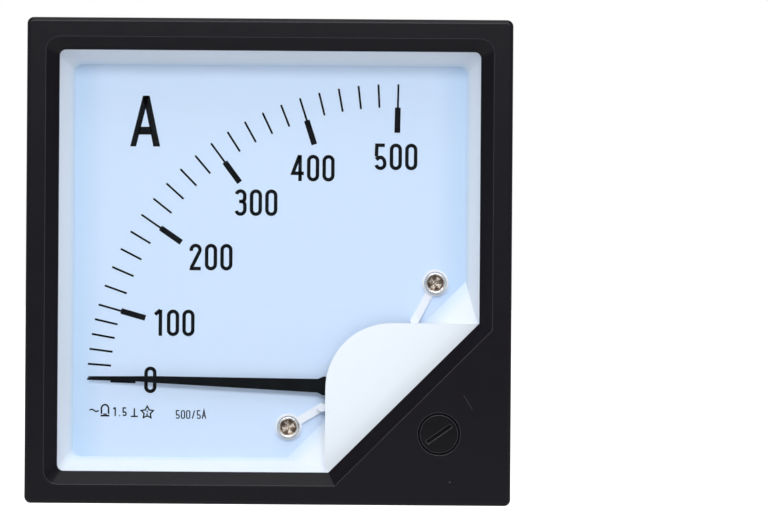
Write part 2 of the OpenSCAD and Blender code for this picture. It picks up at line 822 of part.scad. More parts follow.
// Brass balance weights on the ends of the arms.
module counterweights() {
    y = pointer_y + 1.5 * pointer_t;
    color("goldenrod") {
        radial_rod(tail_weight_r, tail_len - tail_weight_len, tail_len, y, zero_angle + 180);
        for (s = [-90, 90])
            radial_rod(side_weight_r, side_len - side_weight_len, side_len, y, zero_angle + s);
    }
}

// Lever that turns round the front bearing and follows the adjuster's pin with its fork.
module zero_lever() {
    color("silver") {
        slab(lever_y, lever_rear_y) translate(pivot) rotate(lever_angle) difference() {
            union() {
                circle(lever_ring_r);
                translate([0, -lever_w / 2]) square([lever_len - pin_throw, lever_w]);
                translate([lever_len - pin_throw - fork_back, -fork_w / 2])
                    square([pin_throw + fork_reach, fork_w]);
            }
            circle(boss_r + run_fit);
            translate([lever_len - slot_back, -fork_half])
                square([slot_back + fork_reach, 2 * fork_half]);
        }
        rod(spring_post_r, lever_rear_y, spring_y + spring_h,
            around_pivot(spring_post_dist, lever_angle));
    }
}

// Flat spiral spring between the hub's collet and the lever's post.
module hairspring() {
    r_in = collet_r + spring_gap;
    r_out = spring_post_dist - spring_post_r - spring_t;
    turn = [for (i = [0:spring_steps]) [r_in + (r_out - r_in) * i / spring_steps,
        lever_angle - 360 * spring_turns * (1 - i / spring_steps)]];
    color("goldenrod") slab(spring_y, spring_y + spring_h) translate(pivot)
        polygon(concat([for (t = turn) polar(t[0], t[1])],
            [for (i = [spring_steps:-1:0]) polar(turn[i][0] + spring_t, turn[i][1])]));
}

// Front bridge with the round boss that carries the zero lever.
module front_bridge() {
    color("silver") difference() {
        union() {
            strip(-pillar_dist, pillar_dist, bridge_w, bridge_y, bridge_rear_y, pillar_angle);
            for (p = pillars()) rod(bridge_w / 2, bridge_y, bridge_rear_y, p);
            rod(boss_r, bridge_rear_y, bridge_rear_y + boss_h, pivot);
        }
        rod(jewel_r + screw_fit, bridge_y - over, bridge_rear_y + boss_h + over, pivot);
        for (p = pillars()) rod(spigot_r + screw_fit, bridge_y - over, bridge_rear_y + over, p);
    }
}

// Front bearing screw with a cone-shaped cup round the end of the spindle.
module front_jewel() {
    color("goldenrod") difference() {
        rod(jewel_r, cover_rear_y + jewel_gap, jewel_rear_y, pivot);
        cone(cup_gap, cup_r, spindle_front_y - cup_gap, jewel_rear_y + thin, pivot);
    }
}

// Rear bearing screw with the same cup.
module rear_jewel() {
    front = spindle_rear_y - cup_depth;
    color("goldenrod") difference() {
        rod(jewel_r, front, rear_bridge_rear_y + jewel_out, pivot);
        cone(cup_r, cup_gap, front - thin, spindle_rear_y + cup_gap, pivot);
    }
}

// Rear bridge on the two long posts.
module rear_bridge() {
    color("silver") difference() {
        union() {
            strip(-post_dist, post_dist, bridge_w, rear_bridge_y, rear_bridge_rear_y, 0);
            for (p = posts()) rod(bridge_w / 2, rear_bridge_y, rear_bridge_rear_y, p);
        }
        rod(jewel_r + screw_fit, rear_bridge_y - over, rear_bridge_rear_y + over, pivot);
        for (p = posts())
            rod(spigot_r + screw_fit, rear_bridge_y - over, rear_bridge_rear_y + over, p);
    }
}

// Cast plate that carries the whole movement, with pillars to the front and posts to the rear.
module movement_frame() {
    corner = [ear(0), dial_screw(1), ear(2), dial_screw(0), ear(1)];
    color([0.7, 0.71, 0.73]) difference() {
        union() {
            slab(frame_y, frame_rear_y) {
                polygon(corner);
                translate(pivot) circle(movement_r);
                for (c = corner) translate(c) circle(ear_r);
            }
            for (i = [0, 1]) rod(screw_r + boss_wall, dial_rear_y, frame_y, dial_screw(i));
            for (p = pillars()) {
                rod(pillar_r, bridge_rear_y, frame_y, p);
                rod(spigot_r, bridge_y, bridge_rear_y, p);
            }
            for (p = posts()) {
                rod(post_r, frame_rear_y, rear_bridge_y, p);
                rod(spigot_r, rear_bridge_y, rear_bridge_rear_y, p);
            }
        }
        rod(bobbin_bore_r - frame_hole_gap, frame_y - over, frame_rear_y + over, pivot);
        for (i = [0, 1])
            rod(screw_r + screw_fit, dial_rear_y - over, frame_rear_y + over, dial_screw(i));
        for (i = [0:2]) rod(screw_r + screw_fit, frame_y - over, frame_rear_y + over, ear(i));
    }
}

// Moulded reel that holds the winding, with two notches where the leads come out.
module coil_bobbin() {
    notch_w = 2 * (lead_r + fit);
    color([0.15, 0.15, 0.16]) difference() {
        union() {
            rod(bobbin_r, frame_rear_y, frame_rear_y + bobbin_flange, pivot);
            rod(tube_r, frame_rear_y, bobbin_rear_y, pivot);
            rod(bobbin_r, bobbin_rear_y - bobbin_flange, bobbin_rear_y, pivot);
        }
        rod(bobbin_bore_r, frame_rear_y - over, bobbin_rear_y + over, pivot);
        for (a = lead_angle) strip(winding_r - fit, bobbin_r + over, notch_w,
            bobbin_rear_y - bobbin_flange - over, bobbin_rear_y + over, a);
    }
}

// Copper winding between the bobbin's flanges.
module coil_winding() {
    color([0.72, 0.4, 0.2]) difference() {
        rod(winding_r, frame_rear_y + bobbin_flange, bobbin_rear_y - bobbin_flange, pivot);
        rod(tube_r, frame_rear_y, bobbin_rear_y, pivot);
    }
}

// Bent iron sheet fixed inside the bobbin.
module fixed_iron() {
    r = bobbin_bore_r - screw_fit;
    color("gray") arc_sheet(r - iron_t, r, frame_rear_y + iron_margin, bobbin_rear_y - iron_margin,
        fixed_iron_angle, fixed_iron_span);
}

// Bent iron sheet that turns with the spindle, on two flat arms.
module moving_iron() {
    y0 = frame_rear_y + iron_margin + iron_play;
    y1 = bobbin_rear_y - iron_margin - iron_play;
    a = zero_angle + 180;
    color("gray") difference() {
        union() {
            arc_sheet(moving_iron_r - iron_t, moving_iron_r, y0, y1, a, moving_iron_span);
            for (y = [y0, y1 - arm_t]) {
                strip(0, moving_iron_r - iron_t / 2, iron_arm_w, y, y + arm_t, a);
                rod(iron_pad_r, y, y + arm_t, pivot);
            }
        }
        rod(spindle_r + press_gap, y0 - over, y1 + over, pivot);
    }
}

// Aluminium sector that swings between the magnets.
module damping_vane() {
    color("lightgray") slab(vane_y, vane_y + vane_t) translate(pivot) rotate(zero_angle + 180)
        difference() {
            union() {
                circle(vane_hub_r);
                wedge(vane_r, vane_half_span);
            }
            circle(spindle_r + press_gap);
            for (s = [-1, 1])
                rotate(s * vane_half_span / 2) translate([vane_hole_dist, 0]) circle(vane_hole_r);
        }
}

// Steel strip bent round the rim of the damping vane.
module magnet_bracket() {
    color("gray") {
        strip(bracket_r0, bracket_r0 + bracket_t, bracket_w, frame_rear_y,
            bracket_rear_y + bracket_t, magnet_angle);
        for (y = [bracket_y, bracket_rear_y])
            strip(magnet_r0 - magnet_step, bracket_r0, bracket_w, y, y + bracket_t, magnet_angle);
    }
}

// Two block magnets, one on each side of the vane.
module damping_magnets() {
    color([0.3, 0.3, 0.32]) for (y = [magnet_y, rear_magnet_y])
        strip(magnet_r0, vane_r, bracket_w - magnet_step, y, y + magnet_t, magnet_angle);
}

// Three screws through the frame's ears into the case posts.
module frame_screws() {
    color("silver") for (i = [0:2]) pan_screw(ear(i), frame_y, frame_screw_len);
}

// Deep black case with a flange, two clamp pockets, screw posts and terminal pads.
module rear_case() {
    pocket_floor = body_half - pocket_d;
    color([0.1, 0.1, 0.11]) difference() {
        union() {
            difference() {
                union() {
                    slab(flange_rear_y, body_d) round_square(body_half, body_corner_r);
                    slab(flange_y, flange_rear_y) round_square(insert_half, insert_r);
                }
                slab(flange_y - over, back_y) round_square(case_half, insert_r);
            }
            for (s = [-1, 1]) scale([s, 1, 1])
                block([pocket_floor - pocket_wall, case_half + over],
                    [pocket_start - pocket_wall, body_d],
                    [-pocket_half - pocket_wall, pocket_half + pocket_wall]);
            for (i = [0:2]) rod(ear_r, frame_rear_y, back_y + over, ear(i));
            for (x = stud_xs) rod(pad_r, back_y + over, pad_y, [x, stud_z]);
            block([-pad_rib_w / 2, pad_rib_w / 2], [body_d - over, pad_y],
                [stud_z - pad_r, stud_z + pad_r]);
        }
        for (s = [-1, 1]) scale([s, 1, 1]) {
            block([pocket_floor, pocket_floor + clamp_t + clamp_gap],
                [pocket_start, body_d + over], [-pocket_half, pocket_half]);
            block([pocket_floor, body_half + over], [pocket_start, body_d + over],
                [-pocket_mouth / 2, pocket_mouth / 2]);
        }
        for (i = [0:2]) rod(screw_r + screw_fit, frame_rear_y - over,
            frame_y + frame_screw_len + screw_tip_gap, ear(i));
        for (x = stud_xs) rod(stud_r + stud_fit, lug_y, pad_y + over, [x, stud_z]);
        rim_outside(fit);
    }
}

// Threaded brass studs with a hexagon head inside the case and a thread relief behind the nut.
module terminal_studs() {
    color("goldenrod") for (x = stud_xs) {
        at = [x, stud_z];
        rod(nut_corner_r, lug_y - stud_head_t, lug_y, at, $fn = 6);
        rod(stud_r, lug_y, relief_y, at);
        rod(stud_r - relief_d, relief_y, relief_y + relief_len, at);
        rod(stud_r, relief_y + relief_len, stud_end_y - stud_chamfer, at);
        cone(stud_r, stud_r - stud_chamfer, stud_end_y - stud_chamfer, stud_end_y, at);
    }
}

// Flat lugs clamped under the stud heads, with a tab towards each lead.
module terminal_lugs() {
    color("silver") for (i = [0, 1]) slab(lug_y, back_y) difference() {
        union() {
            translate([stud_xs[i], stud_z]) circle(lug_r);
            translate([stud_xs[i] - lug_tab_w / 2, stud_z - lug_tab_len])
                square([lug_tab_w, lug_tab_len]);
        }
        translate([stud_xs[i], stud_z]) circle(stud_r + stud_fit);
    }
}

// Round wires from the winding to the lugs.
module coil_leads() {
    color("firebrick") for (i = [0, 1]) {
        exit = around_pivot(winding_r + lead_r + screw_fit, lead_angle[i]);
        y_start = bobbin_rear_y - bobbin_flange - lead_r;
        y_end = lug_y - lead_r;
        route = [[exit[0], y_start, exit[1]], [exit[0], lug_y - lead_bend[i], exit[1]],
            [stud_xs[i], y_end, lead_end_z - lead_run], [stud_xs[i], y_end, lead_end_z]];
        for (k = [0:len(route) - 2]) hull() for (p = [route[k], route[k + 1]])
            translate(p) sphere(lead_r, $fn = lead_fn);
    }
}

// Flat washers under the spring washers.
module flat_washers() {
    color("silver") for (x = stud_xs) difference() {
        rod(washer_r, washer_y, washer_y + washer_t, [x, stud_z]);
        rod(stud_r + fit, washer_y - over, washer_y + washer_t + over, [x, stud_z]);
    }
}

// Split spring washers.
module spring_washers() {
    color("silver") for (x = stud_xs) difference() {
        rod(spring_washer_r, spring_washer_y, nut_y, [x, stud_z]);
        rod(stud_r + stud_fit, spring_washer_y - over, nut_y + over, [x, stud_z]);
        block([x, x + spring_washer_r + over], [spring_washer_y - over, nut_y + over],
            [stud_z - split_w / 2, stud_z + split_w / 2]);
    }
}

// Hexagon nuts with both faces chamfered.
module terminal_nuts() {
    round_r = nut_corner_r + thin;
    flat_r = nut_corner_r - nut_chamfer;
    color("goldenrod") for (x = stud_xs) difference() {
        intersection() {
            rod(nut_corner_r, nut_y, nut_rear_y, [x, stud_z], $fn = 6);
            union() {
                cone(flat_r, round_r, nut_y, nut_y + nut_chamfer, [x, stud_z]);
                rod(round_r, nut_y + nut_chamfer, nut_rear_y - nut_chamfer, [x, stud_z]);
                cone(round_r, flat_r, nut_rear_y - nut_chamfer, nut_rear_y, [x, stud_z]);
            }
        }
        rod(stud_r + screw_fit, nut_y - over, nut_rear_y + over, [x, stud_z]);
    }
}

bezel();
window_seal();
window_glass();
zero_adjuster();
adjuster_retainer();
dial_mask();
dial_plate();
dial_screws();
zero_stop();
full_scale_stop();
pointer();
pointer_hub();
spindle();
balance_arms();
counterweights();
zero_lever();
hairspring();
front_bridge();
front_jewel();
rear_bridge();
rear_jewel();
movement_frame();
coil_bobbin();
coil_winding();
fixed_iron();
moving_iron();
damping_vane();
damping_magnets();
magnet_bracket();
frame_screws();
rear_case();
terminal_studs();
terminal_lugs();
coil_leads();
flat_washers();
spring_washers();
terminal_nuts();
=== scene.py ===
"""Looks of a square-front panel meter: dial print, screw heads, stud threads, finishes and light.

Lengths are in metres. X runs right, Y into the panel and Z up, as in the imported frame.
"""
import json
import math

import bmesh
import bpy
import numpy as np
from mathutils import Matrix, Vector

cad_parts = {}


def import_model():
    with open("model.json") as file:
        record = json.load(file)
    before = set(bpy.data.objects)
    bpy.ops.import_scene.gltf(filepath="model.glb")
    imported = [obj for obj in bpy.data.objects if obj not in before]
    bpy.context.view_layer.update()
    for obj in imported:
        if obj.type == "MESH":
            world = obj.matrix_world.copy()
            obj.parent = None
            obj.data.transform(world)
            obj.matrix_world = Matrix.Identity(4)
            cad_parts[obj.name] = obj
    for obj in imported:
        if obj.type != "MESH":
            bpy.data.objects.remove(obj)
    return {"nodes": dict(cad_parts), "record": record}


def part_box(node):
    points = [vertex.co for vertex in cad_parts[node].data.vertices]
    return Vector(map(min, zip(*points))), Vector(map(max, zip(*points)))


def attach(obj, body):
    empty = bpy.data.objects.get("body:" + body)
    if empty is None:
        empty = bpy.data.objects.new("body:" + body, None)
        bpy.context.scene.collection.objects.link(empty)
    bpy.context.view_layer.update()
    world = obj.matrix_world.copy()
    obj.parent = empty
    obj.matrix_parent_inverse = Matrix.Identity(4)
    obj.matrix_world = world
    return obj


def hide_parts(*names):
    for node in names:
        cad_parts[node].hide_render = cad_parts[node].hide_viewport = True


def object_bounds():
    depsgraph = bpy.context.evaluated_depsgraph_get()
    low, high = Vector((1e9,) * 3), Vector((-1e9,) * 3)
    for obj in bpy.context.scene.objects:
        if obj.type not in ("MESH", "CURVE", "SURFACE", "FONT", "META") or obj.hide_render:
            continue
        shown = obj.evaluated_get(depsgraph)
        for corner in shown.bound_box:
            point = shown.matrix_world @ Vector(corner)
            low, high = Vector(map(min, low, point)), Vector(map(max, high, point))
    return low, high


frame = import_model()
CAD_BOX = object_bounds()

MM = 0.001
NODES = frame["nodes"]


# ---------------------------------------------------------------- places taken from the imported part

def middle(node):
    """Centre of a node's box, in metres."""
    low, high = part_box(node)
    return (np.array(low) + np.array(high)) / 2


DIAL_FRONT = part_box("dial_plate")[0][1]
HEAD_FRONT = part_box("dial_screws")[0][1]
HEAD_R, HEAD_H, SHANK_R = 2.75 * MM, 2.0 * MM, 1.5 * MM
PIVOT = middle("spindle")[[0, 2]]


# ---------------------------------------------------------------- surfaces worked out as arrays

def grid_quads(rows, cols, wrap_rows=False, wrap_cols=False):
    """Quads of a grid of rows by cols points: each joins a point with its next one in the row and
    the two below them."""
    i = np.arange(rows if wrap_rows else rows - 1)
    j = np.arange(cols if wrap_cols else cols - 1)
    a, b = np.meshgrid(i, j, indexing="ij")
    a2, b2 = (a + 1) % rows, (b + 1) % cols
    return np.stack([a * cols + b, a * cols + b2, a2 * cols + b2, a2 * cols + b], -1).reshape(-1, 4)


def make_piece(name, points, faces, finish, body="root", smooth=False):
    """Puts point and face arrays into a mesh, closes its poles and seams, turns its faces outwards
    and lets it ride on a body."""
    mesh = bpy.data.meshes.new(name)
    mesh.from_pydata(points.tolist(), [], [list(f) for f in faces])
    work = bmesh.new()
    work.from_mesh(mesh)
    bmesh.ops.remove_doubles(work, verts=work.verts, dist=1e-7)
    bmesh.ops.recalc_face_normals(work, faces=work.faces)
    work.to_mesh(mesh)
    work.free()
    mesh.polygons.foreach_set("use_smooth", np.full(len(mesh.polygons), smooth))
    obj = bpy.data.objects.new(name, mesh)
    bpy.context.scene.collection.objects.link(obj)
    mesh.materials.append(finish)
    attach(obj, body)
    return obj


def turned(radius, depth, angle, at):
    """Surface round an axis along Y: a point at angle t and depth y stands radius away from the
    axis, radius and depth being arrays of rows by columns."""
    t = angle[None, :]
    return np.stack([at[0] + radius * np.cos(t), depth + 0 * t, at[1] + radius * np.sin(t)],
                    -1).reshape(-1, 3)


# ---------------------------------------------------------------- flat print made of bands

PRINT_TOP = 0.03 * MM
PRINT_SUNK = 0.02 * MM


class Print:
    """Collects flat bands and plates of paint that lie on the dial, as closed thin solids."""

    def __init__(self):
        self.points, self.faces, self.count = [], [], 0

    def outline_solid(self, left, right, closed):
        """Solid between a left and a right edge line: each section is a rectangle whose front
        stands a hair above the dial and whose back is sunk in it."""
        front, back = DIAL_FRONT - PRINT_TOP, DIAL_FRONT + PRINT_SUNK
        rows = len(left)
        section = np.empty((rows, 4, 3))
        section[:, 0, ::2], section[:, 3, ::2] = left, left
        section[:, 1, ::2], section[:, 2, ::2] = right, right
        section[:, :2, 1], section[:, 2:, 1] = front, back
        quads = grid_quads(rows, 4, wrap_rows=closed, wrap_cols=True)
        if not closed:
            last = 4 * (rows - 1)
            quads = np.vstack([quads, [[3, 2, 1, 0]], [[last, last + 1, last + 2, last + 3]]])
        self.points.append(section.reshape(-1, 3))
        self.faces.append(quads + self.count)
        self.count += 4 * rows

    def band(self, line, width, closed=False):
        """Band of even width along a line: each point moves half the width to both sides along the
        mitred normal of the line there."""
        line = np.asarray(line, float)
        ahead, behind = np.roll(line, -1, 0) - line, line - np.roll(line, 1, 0)
        if not closed:
            ahead[-1], behind[0] = behind[-1], ahead[0]
        ahead /= np.linalg.norm(ahead, axis=1)[:, None]
        behind /= np.linalg.norm(behind, axis=1)[:, None]
        side_a = np.stack([-ahead[:, 1], ahead[:, 0]], -1)
        side_b = np.stack([-behind[:, 1], behind[:, 0]], -1)
        mitre = side_a + side_b
        mitre /= (mitre * side_a).sum(1)[:, None]
        self.outline_solid(line + mitre * width / 2, line - mitre * width / 2, closed)

    def plate(self, corners):
        """Plate with four straight sides, given as [x, z] corners in order."""
        c = np.asarray(corners, float)
        self.outline_solid(c[[0, 1]], c[[3, 2]], False)

    def piece(self, name, slot, finish):
        return make_piece(name, np.vstack(self.points), np.vstack(self.faces), finish)


def arc(centre, radius, start, end, steps=14):
    """Points on a circle from one angle to another, in degrees; radius may be [across, up]."""
    t = np.radians(np.linspace(start, end, steps))
    across, up = np.broadcast_to(radius, 2)
    return np.stack([centre[0] + across * np.cos(t), centre[1] + up * np.sin(t)], -1)


def line(*points):
    return np.array(points, float)


def figure_strokes(sign):
    """Centre lines of one sign, as (points, closed), in a cell 1 wide and 2.65 high."""
    a, b = 0.5, 1.325
    if sign == "0":
        ring = np.vstack([arc((0, b - a), a, 0, 180), arc((0, a - b), a, 180, 360)])
        return [(ring, True)]
    if sign == "1":
        return [(line((-0.30, b - 0.38), (0.14, b + 0.0), (0.30, b + 0.14)), False),
                (line((0.32, b + 0.175), (0.32, -b - 0.175)), False)]
    if sign == "2":
        hook = arc((0, b - a), a, 195, -22)
        foot = line((-a + 0.08, 0.2 - b), (-a + 0.04, -b), (a + 0.1, -b))
        return [(np.vstack([hook, foot]), False)]
    if sign == "3":
        waist = line((-0.16, 0.12))
        upper = np.vstack([arc((0, b - 0.48), 0.48, 165, 0), arc((0.1, 0.5), 0.38, 0, -90), waist])
        lower = np.vstack([waist, arc((0.1, -0.3), (0.4, 0.42), 90, 0),
                           arc((0, a - b), a, 0, -165)])
        return [(upper, False), (lower, False)]
    if sign == "4":
        return [(line((0.20, b + 0.14), (-0.56, 0.06 - b / 2), (0.70, 0.06 - b / 2)), False),
                (line((0.27, b + 0.175), (0.27, -b - 0.175)), False)]
    if sign == "5":
        bowl = arc((0, 0.56 - b), (a, 0.56 + 0.14), 128, 0)
        tail = arc((0, a - b), a, 0, -165)
        return [(line((0.50, b), (-0.42, b), (-0.46, 0.02)), False),
                (np.vstack([line((-0.50, -0.02)), bowl, tail]), False)]
    if sign == ".":
        return [(line((-0.16, -b), (0.16, -b)), False)]
    if sign == "/":
        return [(line((-0.35, -b - 0.1), (0.35, b + 0.1)), False)]
    if sign == "A":
        return [(line((-0.55, -b - 0.15), (0, b + 0.1), (0.55, -b - 0.15)), False),
                (line((-0.38, -0.45), (0.38, -0.45)), False)]
    return []


def write(paint, text, centre, cell, pitch, stroke, lift=1.0):
    """Sets a row of signs about a centre: each sign's lines are scaled by the cell width and
    carried along the row by the pitch."""
    for place, sign in enumerate(text):
        at = np.array(centre) + [(place - (len(text) - 1) / 2) * pitch, 0]
        for points, closed in figure_strokes(sign):
            paint.band(points * [cell, cell * lift] + at, stroke, closed)


# ---------------------------------------------------------------- scale of the dial

SCALE_ZERO, SCALE_100, STEP_100 = 178.6, 164.4, 18.85
STEPS = 5
THIN_IN, THIN_OUT, THIN_W = 70.0 * MM, 75.8 * MM, 0.5 * MM
THICK_IN, THICK_W = 63.7 * MM, 1.44 * MM
FIGURE_CELL, FIGURE_PITCH, FIGURE_STROKE = 2.17 * MM, 3.84 * MM, 0.88 * MM
FIGURES = [("500", (31.2, 26.3)), ("400", (10.6, 23.35)), ("300", (-3.6, 14.65)),
           ("200", (-14.7, 1.0)), ("100", (-24.05, -15.45)), ("0", (-29.6, -29.7))]


# Middle and half height of the unit letter, and its bar's lower and upper edge, in mm.
UNIT_AT, UNIT_HALF_H, UNIT_BAR = np.array([-31.3, 34.8]), 6.34, (-3.38, -1.42)

# Small signs, in mm: places of their middles, then strokes and sizes.
WAVE_AT, ARCH_AT, UPRIGHT_AT = (-43.58, -37.4), (-40.85, -37.05), (-33.53, -38.83)
STAR_AT, STAR_FIGURE_AT = (-30.33, -37.85), (-30.33, -37.9)
CLASS_PLACES, CLASS_Z = (("1", -38.55), (".", -37.2), ("5", -35.99)), -37.69
RATIO_AT = (-19.45, -38.27)
SIGN_STROKE, ARCH_STROKE, BASE_STROKE, INNER_STROKE = 0.34, 0.4, 0.42, 0.3
STAR_FIGURE_STROKE, RATIO_STROKE = 0.18, 0.28
SMALL_CELL, SMALL_LIFT, RATIO_PITCH, STAR_CELL = 0.78, 0.92, 1.31, 0.36
WAVE_HALF, WAVE_H, UPRIGHT_HALF, UPRIGHT_H = 1.17, 0.26, 0.89, 2.03
STAR_TIP, STAR_NOTCH = 1.6, 0.82


def scale_angle(mark):
    """Angle of a mark from 0 to 25: the first five steps are narrower than the rest."""
    if mark <= STEPS:
        return SCALE_ZERO + (SCALE_100 - SCALE_ZERO) * mark / STEPS
    return SCALE_100 - STEP_100 * (mark - STEPS) / STEPS


def scale_marks(paint):
    """Radial bars round the pivot, a thick inner bar at every fifth one."""
    for mark in range(5 * STEPS + 1):
        t = math.radians(scale_angle(mark))
        out = np.array([math.cos(t), math.sin(t)])
        paint.band([PIVOT + out * THIN_IN, PIVOT + out * THIN_OUT], THIN_W)
        if mark % STEPS == 0:
            paint.band([PIVOT + out * THICK_IN, PIVOT + out * THIN_IN], THICK_W)


def big_unit(paint):
    """The unit letter: two slanted legs with level ends, and a bar."""
    foot, top = -UNIT_HALF_H, UNIT_HALF_H
    leg_l = [(-3.74, foot), (-2.27, foot), (0.86, top), (-0.62, top)]
    leg_r = [(2.03, foot), (3.74, foot), (1.03, top), (-0.60, top)]
    bar = [(-1.9, UNIT_BAR[0]), (1.7, UNIT_BAR[0]), (1.3, UNIT_BAR[1]), (-1.4, UNIT_BAR[1])]
    for corners in (leg_l, leg_r, bar):
        paint.plate((np.array(corners) + UNIT_AT) * MM)


def small_signs(paint):
    """Signs for alternating current, moving-iron movement, accuracy class, upright use and test
    voltage, then the transformer ratio."""
    t = np.linspace(-1, 1, 17)
    wave = np.stack([WAVE_AT[0] + WAVE_HALF * t, WAVE_AT[1] - WAVE_H * np.sin(math.pi * t)], -1)
    paint.band(wave * MM, SIGN_STROKE * MM)
    arch = np.vstack([line((-41.75, -38.25)), arc(ARCH_AT, (0.92, 1.1), 200, -20),
                      line((-39.95, -38.25))])
    paint.band(arch * MM, ARCH_STROKE * MM)
    paint.band(line((-41.95, -38.7), (-39.75, -38.7)) * MM, BASE_STROKE * MM)
    paint.band(line((-41.3, -38.3), (-40.4, -38.3)) * MM, INNER_STROKE * MM)
    for sign, x in CLASS_PLACES:
        write(paint, sign, (x * MM, CLASS_Z * MM), SMALL_CELL * MM, 0, SIGN_STROKE * MM, SMALL_LIFT)
    x, z = UPRIGHT_AT
    paint.band(line((x, z + UPRIGHT_H), (x, z)) * MM, SIGN_STROKE * MM)
    paint.band(line((x - UPRIGHT_HALF, z), (x + UPRIGHT_HALF, z)) * MM, SIGN_STROKE * MM)
    corner = np.arange(10)
    turn = np.radians(90 + 36 * corner)
    reach = np.where(corner % 2 == 0, STAR_TIP, STAR_NOTCH)
    star = np.stack([STAR_AT[0] + reach * np.cos(turn), STAR_AT[1] + reach * np.sin(turn)], -1)
    paint.band(star * MM, SIGN_STROKE * MM, closed=True)
    write(paint, "2", np.array(STAR_FIGURE_AT) * MM, STAR_CELL * MM, 0, STAR_FIGURE_STROKE * MM)
    write(paint, "500/5A", np.array(RATIO_AT) * MM, SMALL_CELL * MM, RATIO_PITCH * MM,
          RATIO_STROKE * MM, SMALL_LIFT)


# ---------------------------------------------------------------- finishes

class Nodes:
    """Short way to lay out one shader tree."""

    def __init__(self, name):
        self.material = bpy.data.materials.new(name)
        self.material.use_nodes = True
        self.tree = self.material.node_tree
        self.shader = self.tree.nodes["Principled BSDF"]
        self.place = self.add("ShaderNodeTexCoord").outputs["Object"]

    def add(self, kind, inputs=None, **settings):
        node = self.tree.nodes.new(kind)
        for key, value in settings.items():
            setattr(node, key, value)
        for key, value in (inputs or {}).items():
            self.feed(node.inputs[key], value)
        return node

    def feed(self, socket, value):
        if isinstance(value, bpy.types.NodeSocket):
            self.tree.links.new(value, socket)
        else:
            socket.default_value = value

    def math(self, operation, *values, clamp=False):
        node = self.add("ShaderNodeMath", operation=operation, use_clamp=clamp)
        for i, value in enumerate(values):
            self.feed(node.inputs[i], value)
        return node.outputs[0]

    def noise(self, scale, detail=3.0, rough=0.5, place=None):
        return self.add("ShaderNodeTexNoise", {"Vector": place or self.place, "Scale": scale,
                                               "Detail": detail, "Roughness": rough}).outputs["Fac"]

    def spread(self, value, low, high, to_low=0.0, to_high=1.0):
        """Carries value from the range low..high to to_low..to_high, and stops at its ends."""
        limits = {"From Min": low, "From Max": high, "To Min": to_low, "To Max": to_high}
        return self.add("ShaderNodeMapRange", {"Value": value, **limits}).outputs["Result"]

    def mix(self, share, a, b):
        node = self.add("ShaderNodeMix", data_type="RGBA")
        self.feed(node.inputs["Factor"], share)
        self.feed(node.inputs["A"], a)
        self.feed(node.inputs["B"], b)
        return node.outputs["Result"]

    def paint(self, colour):
        """Makes a colour the shader's own, and keeps it for the next layer to build on."""
        self.colour = colour
        self.feed(self.shader.inputs["Base Color"], colour)

    def axes(self):
        parts = self.add("ShaderNodeSeparateXYZ", {"Vector": self.place})
        return parts.outputs["X"], parts.outputs["Y"], parts.outputs["Z"]


def linear(red, green, blue):
    """A screen colour from 0 to 255 as the linear colour that a shader takes."""
    c = np.array([red, green, blue]) / 255
    return tuple(np.where(c <= 0.04045, c / 12.92, ((c + 0.055) / 1.055) ** 2.4)) + (1.0,)


def scaled(colour, share):
    return tuple(share * c for c in colour[:3]) + (1.0,)


# Range that a noise mostly fills, and cosines of an edge's turn where the painted edge highlight
# begins and is full.
NOISE_LOW, NOISE_HIGH = 0.3, 0.7
EDGE_START, EDGE_FULL = 0.995, 0.95
# Distances from the middle over which painted shade darkens the dial towards its sides, and the
# mask's height where it is white.
DIAL_SHADE_SPAN, MASK_FADE = (41 * MM, 47 * MM), 2.6 * MM
# Ends of the scratch and the speck on the front, and the reach of each to its sides.
SCRATCH = ((48.15 * MM, -32.35 * MM), (50.65 * MM, -36.5 * MM))
SPECK = ((44.8 * MM, -54.1 * MM), (45.2 * MM, -54.2 * MM))
MARK_REACH = 0.16 * MM
# Depths behind the crown where the screw's dark brown disc and the painted glint in its cross begin
# and are full.
DISC_BROWN, CROSS_GLINT = (0.2 * MM, 0.4 * MM), (0.5 * MM, 0.62 * MM)
GLASS_TINT, SHADOW_TINT = (0.985, 0.993, 1.0, 1.0), (0.97, 0.985, 0.99, 1.0)
GLASS_IOR, SMEAR_SCALE, SMEAR_ROUGH = 1.45, 35.0, 0.012


def surface(name, colour, rough, metal=0.0, specular=0.5, blotch=60.0, tone=0.06, grain=1500.0,
            relief=0.00002, rough_play=0.06, edge=0.0, edge_highlight=None):
    """Base finish: two noises play on colour and roughness and a fine one stands as relief. edge is
    the radius by which sharp edges look rounded, and the last argument is a painted highlight colour
    laid along them."""
    n = Nodes(name)
    cloud = n.noise(blotch, 4.0, 0.6)
    n.paint(n.mix(cloud, scaled(colour, 1 - tone), scaled(colour, 1 + tone)))
    fine = n.noise(grain, 2.0, 0.5)
    n.feed(n.shader.inputs["Roughness"], n.spread(n.noise(blotch * 6, 3.0), NOISE_LOW, NOISE_HIGH,
                                                  rough - rough_play, rough + rough_play))
    bump = n.add("ShaderNodeBump", {"Height": fine, "Strength": 0.5, "Distance": relief})
    if edge:
        soft = n.add("ShaderNodeBevel", {"Radius": edge}, samples=6).outputs[0]
        n.feed(bump.inputs["Normal"], soft)
    # Painted highlight: a pale colour laid along sharp edges, where the rounded normal turns away
    # from the true one.
    if edge_highlight:
        sharp = n.add("ShaderNodeNewGeometry").outputs["Normal"]
        turn = n.add("ShaderNodeVectorMath", {0: soft, 1: sharp}, operation="DOT_PRODUCT")
        n.paint(n.mix(n.spread(turn.outputs["Value"], EDGE_START, EDGE_FULL), n.colour, edge_highlight))
    n.feed(n.shader.inputs["Normal"], bump.outputs["Normal"])
    n.shader.inputs["Metallic"].default_value = metal
    n.shader.inputs["Specular IOR Level"].default_value = specular
    return n


